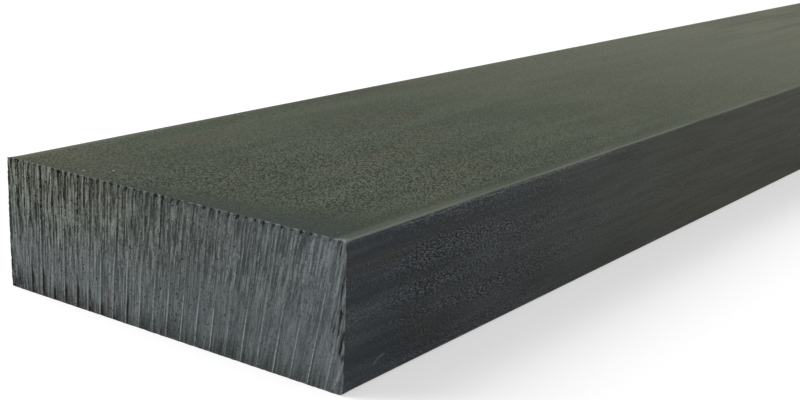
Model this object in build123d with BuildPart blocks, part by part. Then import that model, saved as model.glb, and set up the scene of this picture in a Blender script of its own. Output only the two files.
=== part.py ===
from build123d import *
import os

# Flat bar: one length of hot-rolled flat steel, sawn square at both ends.
# Frame: X runs along the bar, Y across its width and Z up through its thickness.
# The origin is the centre of the underside, where the bar rests.

# Rolled section, in millimetres
WIDTH = 80.0  # over the crowned narrow edges
THICKNESS = 25.0
CORNER_RADIUS = 1.0  # the rolls leave the four long corners slightly round
EDGE_CROWN = 0.2  # how far each narrow edge bows outward at mid-thickness

# Cut length, in millimetres
LENGTH = 500.0

NEAR_SAW_CUT = Plane.YZ.offset(-LENGTH / 2)

os.makedirs("parts", exist_ok=True)

# The bar is one solid: the rolled section, run from one saw cut to the other.
with BuildPart() as flat_bar:
    with BuildSketch(NEAR_SAW_CUT) as rolled_section:
        with BuildLine() as outline:
            corner_y = WIDTH / 2 - EDGE_CROWN
            underside = Line((-corner_y, 0), (corner_y, 0))
            left_edge = ThreePointArc(underside @ 1, (WIDTH / 2, THICKNESS / 2), (corner_y, THICKNESS))
            top_face = Line(left_edge @ 1, (-corner_y, THICKNESS))
            ThreePointArc(top_face @ 1, (-WIDTH / 2, THICKNESS / 2), underside @ 0)
        make_face()
        fillet(rolled_section.vertices(), radius=CORNER_RADIUS)
    extrude(amount=LENGTH)

flat_bar.part.label = "flat_bar"
export_step(flat_bar.part, "parts/flat_bar.step")
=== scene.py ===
"""A cut length of hot-rolled flat bar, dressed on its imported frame.

The bar is one closed piece: two saw-cut ends, each a fine relief of blade marks, and the rolled
skin that joins them. Around it stand a pale floor, a soft lamp and the camera.
"""

import logging
import math
from dataclasses import dataclass, field
from enum import Enum

import bpy
import numpy as np
from mathutils import Matrix, Vector

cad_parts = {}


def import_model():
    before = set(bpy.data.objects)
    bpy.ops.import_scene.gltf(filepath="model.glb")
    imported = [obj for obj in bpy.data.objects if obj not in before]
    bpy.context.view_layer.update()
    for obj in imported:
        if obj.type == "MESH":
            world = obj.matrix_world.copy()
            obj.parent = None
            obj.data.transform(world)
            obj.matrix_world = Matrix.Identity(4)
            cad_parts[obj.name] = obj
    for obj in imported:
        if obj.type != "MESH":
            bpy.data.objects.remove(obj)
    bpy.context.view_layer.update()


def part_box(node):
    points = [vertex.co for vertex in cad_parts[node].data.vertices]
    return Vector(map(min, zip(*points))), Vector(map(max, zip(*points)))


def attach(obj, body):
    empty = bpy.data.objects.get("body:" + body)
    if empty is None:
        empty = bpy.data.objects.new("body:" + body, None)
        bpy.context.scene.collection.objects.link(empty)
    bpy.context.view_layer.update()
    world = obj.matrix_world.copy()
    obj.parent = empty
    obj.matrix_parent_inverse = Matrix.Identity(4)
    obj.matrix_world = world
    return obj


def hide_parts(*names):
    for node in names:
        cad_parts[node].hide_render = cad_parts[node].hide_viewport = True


MM = 0.001
NODE = "flat_bar"
BODY = "root"
PIECE = "sawn_flat_bar"
BAKE_MAP = "OFBake"

log = logging.getLogger(PIECE)

Field = np.ndarray
Socket = bpy.types.NodeSocket
Number = bpy.types.NodeSocket | float
Triple = tuple[float, float, float]
Colour = tuple[float, float, float, float]


class Trait(Enum):
    """What each vertex of a sawn end says about its patch of surface."""

    STROKE = "stroke"  # which blade stroke the point lies on, in millimetres across the cut
    FEED = "feed"  # how many turns the blade had made there
    TOOTH = "tooth"  # how many tooth scores lie between it and the first one
    FORCE = "force"  # how deep the nearest tooth score is cut, 0 to 1
    HARSH = "harsh"  # how hard the teeth scored it, 0 to 1
    GROOVE = "groove"  # how deep in a dark bite, pocket or tear it lies, 0 to 1: grime there and painted shade of the hollow
    RUB = "rub"  # how brightly the blade's weld rubs its line there, which also sets the line's painted highlight and shadow, 0 to 1
    LIP = "lip"  # how far it lies on the pale lip torn along the exit edge, 0 to 1
    OIL = "oil"  # how far cutting oil has tinted it olive, 0 to 1
    DIRT = "dirt"  # how far dirt and painted shade have darkened it, 0 to 1


class BarEnd(Enum):
    """The two saw cuts, with the side of the origin that each lies on."""

    NEAR = -1
    FAR = 1


def ease(value: Field, start: float, end: float) -> Field:
    """Grades smoothly from 0 to 1.

    Args:
        value: The numbers to grade.
        start: Where the grade is 0.
        end: Where it is 1; it may lie below the start.

    Returns:
        The grades.
    """
    share = np.clip((value - start) / (end - start), 0.0, 1.0)
    return share * share * (3.0 - 2.0 * share)


def bell(distance: Field, width: float) -> Field:
    """A smooth hump, 1 at no distance and about a third at one width."""
    return np.exp(-((distance / width) ** 2))


def srgb(red: int, green: int, blue: int) -> Colour:
    """Turns a colour in screen values, 0 to 255, into the linear values that shaders take.

    Args:
        red: Its red.
        green: Its green.
        blue: Its blue.

    Returns:
        The linear colour, opaque.
    """
    shares = (value / 255 for value in (red, green, blue))
    linear = (share / 12.92 if share <= 0.04045 else ((share + 0.055) / 1.055) ** 2.4 for share in shares)
    return (*linear, 1.0)


@dataclass(frozen=True)
class Grain:
    """Seeded smooth noise on a plane, in cells of its own width and height."""

    seed: int
    wide: float
    high: float
    cells: int = 512

    def at(self, across: Field, up: Field) -> Field:
        """Reads the noise.

        Args:
            across: Places along the cells' width.
            up: Places along the cells' height.

        Returns:
            Values from -1 to 1.
        """
        table = np.random.default_rng(self.seed).uniform(-1.0, 1.0, (self.cells, self.cells))
        column = np.asarray(across) / self.wide
        row = np.asarray(up) / self.high
        left = np.floor(column).astype(int)
        below = np.floor(row).astype(int)
        share_right = ease(column - left, 0.0, 1.0)
        share_up = ease(row - below, 0.0, 1.0)
        left, right = left % self.cells, (left + 1) % self.cells
        below, above = below % self.cells, (below + 1) % self.cells
        low = table[below, left] * (1 - share_right) + table[below, right] * share_right
        high = table[above, left] * (1 - share_right) + table[above, right] * share_right
        return low * (1 - share_up) + high * share_up


@dataclass(frozen=True)
class RolledSection:
    """The bar's section, in millimetres: Y across and Z up from the underside."""

    width: float
    thickness: float
    corner_radius: float = 1.0
    edge_crown: float = 0.2

    def place(self, across: Field, up: Field, square: Field) -> tuple[Field, Field]:
        """Bends points of the plain rectangle into the rolled section.

        Args:
            across: Y in the rectangle, from minus to plus half the width.
            up: Z in the rectangle, from 0 to the thickness.
            square: How far a saw burr fills the round corners out again, 0 to 1.

        Returns:
            Y and Z in the section, with its round corners and crowned edges.
        """
        half_y, half_z = self.width / 2, self.thickness / 2
        radius = self.corner_radius
        from_middle = up - half_z
        into_y = np.clip((np.abs(across) - (half_y - radius)) / radius, 0.0, 1.0)
        into_z = np.clip((np.abs(from_middle) - (half_z - radius)) / radius, 0.0, 1.0)
        pull_y = radius * into_y * (1.0 - np.sqrt(1.0 - into_z**2 / 2)) * (1.0 - square)
        pull_z = radius * into_z * (1.0 - np.sqrt(1.0 - into_y**2 / 2)) * (1.0 - square)
        z = half_z + from_middle - np.sign(from_middle) * pull_z
        crown = 1.0 - self.edge_crown / half_y * ((z - half_z) / half_z) ** 2
        y = (across - np.sign(across) * pull_y) * crown
        return y, z


@dataclass(frozen=True)
class SectionGrid:
    """How finely the section is divided: steps in a corner, across a wide face and up an edge."""

    corner_steps: int
    face_steps: int
    edge_steps: int

    def divide(self, size: float, steps: int, radius: float) -> Field:
        """Places of the grid lines over one side of the rectangle, from 0 to size.

        Args:
            size: The side's length.
            steps: How many steps lie between its corners.
            radius: The corners' radius.

        Returns:
            The places.
        """
        first = np.linspace(0.0, radius, self.corner_steps + 1)
        middle = np.linspace(radius, size - radius, steps + 1)[1:-1]
        return np.concatenate([first, middle, size - first[::-1]])

    def lines(self, section: RolledSection) -> tuple[Field, Field]:
        """The grid lines across (Y) and up (Z) in the plain rectangle."""
        across = self.divide(section.width, self.face_steps, section.corner_radius) - section.width / 2
        return across, self.divide(section.thickness, self.edge_steps, section.corner_radius)

    def loop(self, section: RolledSection) -> tuple[Field, Field]:
        """The grid's outline, from its lowest corner along the underside and up.

        Args:
            section: The section that is divided.

        Returns:
            Y and Z of the outline's points in the plain rectangle.
        """
        across, up = self.lines(section)
        along_face, along_edge = len(across) - 1, len(up) - 1
        y = [across[:-1], np.full(along_edge, across[-1]), across[:0:-1], np.full(along_edge, across[0])]
        z = [np.full(along_face, up[0]), up[:-1], np.full(along_face, up[-1]), up[:0:-1]]
        return np.concatenate(y), np.concatenate(z)


@dataclass(frozen=True)
class Slit:
    """A slit torn in the exit lip: its two ends, how far in and how high they lie, in millimetres."""

    top: float
    top_in: float
    low: float
    low_in: float
    half_width: float
    strength: float

    def at(self, to_edge: Field, up: Field) -> Field:
        """How deep in the slit a point lies, 0 to 1.

        Args:
            to_edge: Places from the exit edge.
            up: Places from the underside.

        Returns:
            The depths.
        """
        share = np.clip((self.top - up) / (self.top - self.low), 0.0, 1.0)
        away = to_edge - self.top_in - share * (self.low_in - self.top_in)
        ends = ease(up, self.top + 0.2, self.top - 0.4) * ease(up, self.low - 0.3, self.low + 0.5)
        return self.strength * bell(away, self.half_width) * ends


@dataclass(frozen=True)
class DirtPatch:
    """A soft patch of dirt on a cut, or of cleaner metal where its strength is below 0.

    Each fade gives where the patch starts to show and where it is full, in millimetres.
    """

    strength: float
    across: tuple[tuple[float, float], ...]
    up: tuple[tuple[float, float], ...] = ()

    def at(self, across: Field, up: Field) -> Field:
        """How much the patch darkens a point.

        Args:
            across: Places from the entry edge.
            up: Places from the underside.

        Returns:
            The patch's share of the dirt.
        """
        share = self.strength
        for places, fades in ((across, self.across), (up, self.up)):
            for start, full in fades:
                share = share * ease(places, start, full)
        return share


@dataclass(frozen=True)
class SawMarks:
    """The relief that a saw with a swinging arm leaves on a cut face, in millimetres.

    Places are given across, from the edge where the blade entered, and up, from the underside.
    """

    seed: int
    width: float
    thickness: float

    # The arm swings about a point under the bar, so the marks fan out from it.
    arm_reach: float = 303.0
    arm_across: float = 8.0

    # Each time the weld in the blade comes round it rubs one line, a feed on from the last.
    first_line: float = 3.0
    first_feed: float = 2.98
    feed_growth: float = 0.031
    slip_places: tuple[float, ...] = (14.0, 33.0, 51.0, 68.0)
    slips: tuple[float, ...] = (0.05, 0.0, -0.04, -0.02)  # off even growth, as shares of a feed

    # Four tooth scores to a feed, the first a little past the line. Every second ends in a bite.
    teeth_per_feed: int = 4
    first_tooth: float = 0.17

    # How hard each of the four teeth cuts at these heights
    force_heights: tuple[float, ...] = (4.0, 11.0, 17.0, 22.0)
    forces: tuple[tuple[float, ...], ...] = (
        (0.55, 0.85, 1.0, 1.0),
        (0.2, 0.35, 0.45, 0.35),
        (0.0, 0.05, 0.5, 0.85),
        (0.05, 0.5, 0.2, 0.0),
    )

    # Pale ridges between the scores: where in the feed, how wide, and how strong at those heights
    ridges: tuple[tuple[float, float, tuple[float, ...]], ...] = (
        (0.57, 0.1, (0.15, 0.65, 0.45, 0.2)),
        (0.86, 0.1, (0.2, 0.0, 0.1, 0.75)),
        (0.98, 0.06, (0.2, 0.7, 0.7, 0.5)),
    )

    # Depths below the plane of the cut, which the whole face lies a little behind
    set_back: float = 0.05
    score_depth: float = 0.14
    ripple_depth: float = 0.04
    swell_depth: float = 0.04
    line_ridge: float = 0.045
    bite_depth: float = 0.34
    bite_lead: float = 0.14  # how far a bite reaches back before its score, as a share of two scores
    tear_depth: float = 0.2
    pocket_depth: float = 0.14

    # How far the outline is nicked on the entry edge, torn on the exit edge and worn above and below
    nick: float = 0.14
    tear: float = 0.26
    notch: float = 0.05
    notch_up: float = 6.3
    rim_wear: float = 0.02
    foot_wear: float = 0.08

    # The lip along the exit edge, torn into slits that slant in towards their feet
    slits: tuple[Slit, ...] = (
        Slit(24.3, 1.1, 20.8, 1.6, 0.2, 0.6),
        Slit(21.1, 0.25, 19.9, 0.65, 0.32, 0.5),
        Slit(18.3, 0.75, 13.3, 1.05, 0.14, 0.75),
        Slit(13.9, 0.75, 9.5, 1.6, 0.17, 0.85),
        Slit(10.7, 0.3, 6.5, 1.2, 0.24, 1.0),
        Slit(11.9, 2.05, 9.6, 2.7, 0.26, 0.55),
        Slit(6.9, 2.1, 5.7, 2.45, 0.2, 0.5),
        Slit(4.3, 0.45, 1.3, 0.9, 0.22, 0.45),
    )
    lip_width: float = 3.2

    # The pale band that slants down at the lip's foot, and two pale tufts (how far in, how high)
    band_top: float = 5.2
    band_slope: float = 0.46
    tufts: tuple[tuple[float, float], ...] = ((0.2, 8.4), (0.4, 7.3))

    # How far dirt follows the soft bands and leaves the pale ridges, and the patches that lie over both
    band_dirt: float = 0.26
    ridge_dirt: float = -0.45
    dirt_patches: tuple[DirtPatch, ...] = (
        DirtPatch(-0.06, ((42.0, 30.0),)),
        DirtPatch(0.15, ((15.0, 24.0), (46.0, 36.0)), ((14.0, 19.0),)),
        DirtPatch(0.04, ((36.0, 48.0),), ((18.0, 12.0),)),
        DirtPatch(-0.24, ((40.0, 16.0),), ((6.0, 20.0),)),
        DirtPatch(-0.2, ((60.0, 74.0),), ((9.0, 18.0),)),
        DirtPatch(-0.12, ((62.0, 72.0),), ((12.0, 5.0),)),
        DirtPatch(-0.09, ((40.0, 30.0),), ((15.0, 10.0),)),
    )

    # How many lots are drawn for the lines and for the bites, and the streams they come from
    line_lots: int = 64
    line_stream: int = 7
    bite_lots: int = 128
    bite_stream: int = 11

    # How far burrs square off the round corners on the entry edge and on the exit edge
    entry_burr: float = 0.85
    exit_burr: float = 0.4

    def noise(self, number: int, wide: float, high: float) -> Grain:
        """One of the face's own noises."""
        return Grain(self.seed * 100 + number, wide, high)

    def stroke(self, across: Field, up: Field) -> Field:
        """Where the blade stroke through a point meets the underside."""
        return self.arm_across + (across - self.arm_across) * self.arm_reach / (self.arm_reach + up)

    def feeds(self, across: Field, up: Field) -> Field:
        """How many turns the blade had made at a point, counted from the first line.

        Args:
            across: Places from the entry edge.
            up: Places from the underside.

        Returns:
            The turns, with whole numbers on the lines.
        """
        growth = self.feed_growth / 2
        stroke = self.stroke(across, up)
        gone = np.maximum(stroke, 0.0) - self.first_line
        even = (np.sqrt(self.first_feed**2 + 4 * growth * gone) - self.first_feed) / (2 * growth)
        return even + np.interp(stroke, self.slip_places, self.slips)

    def feed_at(self, count: Field) -> Field:
        """How far apart the lines are there."""
        return self.first_feed + self.feed_growth * count

    def harshness(self, across: Field, up: Field) -> Field:
        """How hard the teeth chattered: most at the entry and high up, least low on the exit side.

        Args:
            across: Places from the entry edge.
            up: Places from the underside.

        Returns:
            The harshness, 0 to 1.
        """
        entry = 0.42 + 0.58 * ease(across, 66.0, 8.0)
        start = 13.0 + 2.2 * self.noise(20, 3.1, 60.0).at(across, up)
        start = start + 1.2 * self.noise(21, 0.9, 60.0).at(across, up)
        high = 0.55 + 0.45 * ease(up - start, -8.0, 4.0)
        return np.clip(entry * high, 0.0, 1.0)

    def rub(self, across: Field, up: Field) -> Field:
        """How brightly a line is rubbed: clear in the lower part, faint above, none at the entry.

        Args:
            across: Places from the entry edge.
            up: Places from the underside.

        Returns:
            How brightly the nearest line is rubbed, 0 to 1.
        """
        number = np.rint(self.feeds(across, up)).astype(int)
        random, line = np.random.default_rng(self.seed + self.line_stream), number % self.line_lots
        strength = random.uniform(0.4, 0.9, self.line_lots)[line]
        reach = random.uniform(-1.5, 1.5, self.line_lots)[line] + 13.0 - 5.0 * ease(across, 10.0, 50.0)
        fade = 0.16 + 0.84 * ease(up - reach, 1.5, -0.5)
        return strength * fade * ease(across, 3.6, 6.0) * (0.65 + 0.35 * ease(up, 0.5, 3.0))

    def teeth(self, across: Field, up: Field) -> Field:
        """Counts the tooth scores; a whole number is the middle of one."""
        wander = 0.1 * self.noise(1, 3.2, 11.0).at(self.stroke(across, up), up)
        return self.teeth_per_feed * (self.feeds(across, up) - self.first_tooth) + wander

    def force(self, across: Field, up: Field) -> Field:
        """How hard the nearest tooth cut, 0 to 1.

        Args:
            across: Places from the entry edge.
            up: Places from the underside.

        Returns:
            The force of that tooth at that height.
        """
        tooth = np.rint(self.teeth(across, up)).astype(int) % self.teeth_per_feed
        levels = np.stack([np.interp(up, self.force_heights, row) for row in self.forces])
        return np.take_along_axis(levels, tooth[None], 0)[0]

    def ridge(self, across: Field, up: Field) -> Field:
        """The pale ridges that come back with each feed, 0 to 1.

        Args:
            across: Places from the entry edge.
            up: Places from the underside.

        Returns:
            How far a point lies on a ridge.
        """
        count = self.feeds(across, up)
        total = np.zeros_like(count)
        for middle, width, levels in self.ridges:
            off = count - middle - np.rint(count - middle)
            total = total + np.interp(up, self.force_heights, levels) * bell(off, width)
        return total * (0.5 + 0.5 * ease(across, 62.0, 14.0))

    def scores(self, across: Field, up: Field) -> Field:
        """The scores that follow the teeth, 0 to 1.

        Args:
            across: Places from the entry edge.
            up: Places from the underside.

        Returns:
            How deep in a score a point lies.
        """
        stroke = self.stroke(across, up)
        teeth = self.teeth(across, up)
        pitch = self.feed_at(self.feeds(across, up))
        from_tooth = np.abs(teeth - np.rint(teeth)) * pitch / self.teeth_per_feed
        gate = ease(self.noise(2, 0.9, 9.0).at(stroke, up), -1.2, 0.0)
        stray = ease(self.noise(3, 0.36, 12.0).at(stroke, up), 0.3, 0.7)
        return np.clip(bell(from_tooth, 0.17) * gate * self.force(across, up) + 0.2 * stray, 0.0, 1.0)

    def bands(self, across: Field, up: Field) -> Field:
        """Broad soft light and dark bands along the strokes, -1 to 1."""
        stroke = self.stroke(across, up)
        return 0.6 * self.noise(5, 1.0, 16.0).at(stroke, up) + 0.4 * self.noise(6, 0.55, 9.0).at(stroke, up)

    def pockets(self, across: Field, up: Field) -> Field:
        """Dark patches beside the lines, low down on the entry side, 0 to 1.

        Args:
            across: Places from the entry edge.
            up: Places from the underside.

        Returns:
            How deep in a pocket a point lies.
        """
        count = self.feeds(across, up)
        beyond = (count - np.floor(count)) * self.feed_at(count)
        reach = 7.0 + 2.6 * self.noise(7, 2.9, 60.0).at(across, up)
        reach = reach + 0.9 * self.noise(8, 0.5, 60.0).at(across, up)
        wedge = 0.7 + 1.5 * np.clip(1.0 - up / 6.5, 0.0, 1.0)
        core = ease(beyond, 0.75, 0.35)
        beside = ease(beyond, 0.02, 0.15) * (0.6 * ease(beyond, wedge, wedge * 0.5) + 0.35 * core)
        low = ease(up, reach, reach * 0.4)
        entry = ease(across, 2.0, 6.0) * ease(across, 64.0, 20.0)
        streaks = ease(self.noise(9, 0.3, 1.5).at(self.stroke(across, up), up), -0.7, 0.2)
        return beside * low * entry * (0.35 + 0.65 * streaks)

    def rough_corner(self, across: Field, up: Field) -> Field:
        """The mottled corner where the blade first bit, 0 to 1.

        Args:
            across: Places from the entry edge.
            up: Places from the underside.

        Returns:
            How dark the mottle is.
        """
        mottle = ease(self.noise(10, 0.5, 0.6).at(across, up), -0.1, 0.5)
        spots = ease(self.noise(11, 0.34, 0.4).at(across, up), 0.1, 0.6)
        zone = ease(across, 7.0, 2.0) * ease(up, 8.0, 3.0)
        return np.clip(0.7 * mottle + 0.5 * spots, 0.0, 1.0) * zone

    def entry_edge(self, across: Field, up: Field) -> Field:
        """Dark broken marks right along the entry edge, 0 to 1."""
        broken = ease(self.noise(12, 60.0, 1.2).at(across, up), -0.3, 0.4)
        return 0.85 * bell(across - 0.45, 0.4) * broken

    def bites(self, across: Field, up: Field) -> Field:
        """Bites under the top corner, 0 to 1: each steep at a tooth score and sloping away from it.

        Args:
            across: Places from the entry edge.
            up: Places from the underside.

        Returns:
            How deep in a bite a point lies.
        """
        count = self.teeth(across, up) / 2 + self.bite_lead
        number = np.floor(count).astype(int)
        share = count - number
        random, bite = np.random.default_rng(self.seed + self.bite_stream), number % self.bite_lots
        strength = random.uniform(0.45, 0.9, self.bite_lots)[bite]
        tall = random.uniform(0.45, 1.1, self.bite_lots)[bite] * (1.0 - share)
        end = random.uniform(0.35, 0.65, self.bite_lots)[bite]
        down = self.thickness - up
        sides = ease(share, -0.02, 0.07) * ease(share, end, end * 0.5)
        return strength * sides * ease(down, 0.03, 0.16) * ease(down, tall + 0.3, tall * 0.7)

    def slit(self, across: Field, up: Field) -> Field:
        """The slits in the exit lip, 0 to 1.

        Args:
            across: Places from the entry edge.
            up: Places from the underside.

        Returns:
            How deep in a slit a point lies.
        """
        wander = 0.1 * self.noise(13, 60.0, 1.6).at(across, up)
        wander = wander + 0.08 * self.noise(14, 60.0, 0.5).at(across, up)
        to_edge = self.width - across + wander
        ragged = 0.7 + 0.3 * ease(self.noise(16, 60.0, 0.8).at(across, up), -0.6, 0.2)
        return np.clip(sum(slit.at(to_edge, up) for slit in self.slits) * ragged, 0.0, 1.0)

    def torn_lip(self, across: Field, up: Field) -> Field:
        """Dark slits, strands and a notch in the lip along the exit edge, 0 to 1.

        Args:
            across: Places from the entry edge.
            up: Places from the underside.

        Returns:
            How dark the lip is.
        """
        to_edge = self.width - across
        strands = ease(self.noise(17, 0.32, 2.6).at(self.stroke(across, up), up), 0.15, 0.6)
        strands = strands * ease(to_edge, self.lip_width, self.lip_width * 0.6)
        notch = bell(up - self.notch_up, 0.5) * ease(to_edge, 1.35, 0.9)
        rough = ease(self.noise(15, 0.3, 0.35).at(across, up), 0.0, 0.6) * ease(to_edge, 0.9, 0.4)
        return np.clip(self.slit(across, up) + 0.5 * strands + 0.6 * notch + 0.35 * rough, 0.0, 1.0)

    def foot_band(self, up: Field) -> Field:
        """How far from the exit edge the pale band at the lip's foot lies."""
        return 0.2 + self.band_slope * (self.band_top - up)

    def pale_lip(self, across: Field, up: Field) -> Field:
        """Pale torn metal along the exit edge, 0 to 1.

        Args:
            across: Places from the entry edge.
            up: Places from the underside.

        Returns:
            Pale strands, with a slanted band at their foot and a burr at their top.
        """
        to_edge = self.width - across
        stroke = self.stroke(across, up)
        patchy = ease(self.noise(28, 0.3, 0.4).at(across, up), -0.5, 0.4)
        broken = ease(self.noise(29, 0.5, 0.9).at(across, up), -0.5, 0.4)
        strip = bell(to_edge - 0.4, 0.35) * broken * (0.35 + 0.65 * ease(up, 17.0, 22.0)) * ease(up, 7.0, 9.0)
        strands = ease(self.noise(27, 0.32, 3.0).at(stroke, up), 0.1, 0.6) * ease(to_edge, 2.6, 1.2)
        band = bell(to_edge - self.foot_band(up), 0.36) * ease(up, 0.2, 1.2)
        band = band * ease(up, self.band_top + 0.4, 4.6)
        tuft = sum(bell(to_edge - inward, 0.26) * bell(up - height, 0.45) for inward, height in self.tufts)
        burr = ease(to_edge, 2.0, 1.4) * bell(self.thickness - up, 0.3) * patchy
        pale = 0.22 * strip + 0.25 * strands + 0.5 * band * (0.5 + 0.5 * patchy) + 0.35 * tuft + burr
        return np.clip(pale, 0.0, 1.0)

    def depth(self, across: Field, up: Field) -> Field:
        """How far the face lies below the plane of the cut.

        Args:
            across: Places from the entry edge.
            up: Places from the underside.

        Returns:
            The depths, in millimetres.
        """
        harsh = self.harshness(across, up)
        stroke = self.stroke(across, up)
        ripple = 0.5 + 0.5 * self.noise(18, 0.34, 3.0).at(stroke, up)
        swell = 0.5 + 0.2 * self.noise(19, 7.0, 20.0).at(across, up) - 0.15 * self.bands(across, up)
        swell = swell - 0.25 * self.ridge(across, up)
        count = self.feeds(across, up)
        from_line = (count - np.rint(count)) * self.feed_at(count)
        depth = self.set_back + self.ripple_depth * ripple * harsh + self.swell_depth * swell
        depth += self.score_depth * harsh * self.scores(across, up)
        depth += self.bite_depth * self.bites(across, up)
        depth += self.tear_depth * self.slit(across, up)
        depth += self.pocket_depth * np.maximum(self.pockets(across, up), self.rough_corner(across, up))
        depth -= self.line_ridge * bell(from_line, 0.16) * self.rub(across, up)
        return np.maximum(depth, 0.0)

    def burr(self, across: Field, up: Field) -> Field:
        """How far a burr squares off the round corner at a point, 0 to 1."""
        entry_side = ease(across, self.width / 2 + 1, self.width / 2)
        return self.exit_burr + (self.entry_burr - self.exit_burr) * entry_side

    def pull(self, across: Field, up: Field) -> tuple[Field, Field]:
        """How far nicks and tears draw the outline in.

        Args:
            across: Places from the entry edge.
            up: Places from the underside.

        Returns:
            The pull across, towards the exit edge, and up.
        """
        to_exit, down = self.width - across, self.thickness - up
        torn = 0.5 + 0.2 * self.noise(22, 60.0, 1.9).at(across, up)
        torn = torn + 0.45 * self.noise(23, 60.0, 0.5).at(across, up)
        torn = self.tear * torn + self.notch * bell(up - self.notch_up, 0.6)
        nicks = ease(self.noise(24, 60.0, 0.4).at(across, up), -0.2, 0.8)
        draw = self.nick * nicks * ease(across, 1.0, 0.0) - torn * ease(to_exit, 1.6, 0.0)
        rim = self.rim_wear * (0.5 + 0.5 * self.noise(25, 0.9, 60.0).at(across, up)) * ease(down, 0.8, 0.0)
        foot = self.foot_wear * (0.5 + 0.5 * self.noise(26, 0.7, 60.0).at(across, up)) * ease(up, 0.8, 0.0)
        return draw, foot - rim

    def traits(self, across: Field, up: Field) -> dict[Trait, Field]:
        """What the face's colour and polish follow.

        Args:
            across: Places from the entry edge.
            up: Places from the underside.

        Returns:
            Each trait at each place.
        """
        oil = ease(across, 75.0, 5.0) * ease(up, 5.0, 25.0)
        return {
            Trait.STROKE: self.stroke(across, up),
            Trait.FEED: self.feeds(across, up),
            Trait.TOOTH: self.teeth(across, up),
            Trait.FORCE: self.force(across, up),
            Trait.HARSH: self.harshness(across, up),
            Trait.GROOVE: self.groove(across, up),
            Trait.RUB: self.rub(across, up),
            Trait.LIP: self.pale_lip(across, up),
            Trait.OIL: oil,
            Trait.DIRT: self.dirt(across, up),
        }

    def groove(self, across: Field, up: Field) -> Field:
        """How dark a point is from the bites, tears, pockets and rough borders, 0 to 1: grime and painted shade
        in their hollows.

        Args:
            across: Places from the entry edge.
            up: Places from the underside.

        Returns:
            The deepest of them at each place.
        """
        groove = np.maximum(0.85 * self.bites(across, up), self.torn_lip(across, up))
        groove = np.maximum(groove, self.entry_edge(across, up))
        groove = np.maximum(groove, self.pockets(across, up))
        groove = np.maximum(groove, 0.8 * self.rough_corner(across, up))
        return np.clip(groove, 0.0, 1.0)

    def dirt(self, across: Field, up: Field) -> Field:
        """How far a point is darkened: painted shade under the top, darker along the foot, dirt in the bands and
        in patches.

        Args:
            across: Places from the entry edge.
            up: Places from the underside.

        Returns:
            The share that is taken off its colour, below 0 where it is cleaner than most.
        """
        down = self.thickness - up
        # Painted shade: darker under the top edge, most in its last 3 mm
        dirt = 0.1 * ease(down, 9.0, 3.0) + 0.12 * ease(down, 3.0, 0.3)
        # Darker along the foot, less by the exit edge
        foot = (0.46 + 0.12 * ease(across, 60.0, 30.0)) * ease(up, 4.4, 0.3)
        dirt = dirt + foot * (1.0 - 0.8 * ease(across, self.width - 4.5, self.width - 2.0))
        dirt = dirt + self.band_dirt * self.bands(across, up) * (1.0 - 0.4 * ease(across, 50.0, 15.0))
        dirt = dirt + self.ridge_dirt * self.ridge(across, up)
        dirt = dirt + 0.12 * ease(across, self.width - 1.1, self.width - 0.5)
        for patch in self.dirt_patches:
            dirt = dirt + patch.at(across, up)
        return dirt


@dataclass(frozen=True)
class Cloud:
    """Cloudy noise: the size of its blobs in millimetres, and how many finer layers it has."""

    cell: Triple
    detail: float = 1.0


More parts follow.
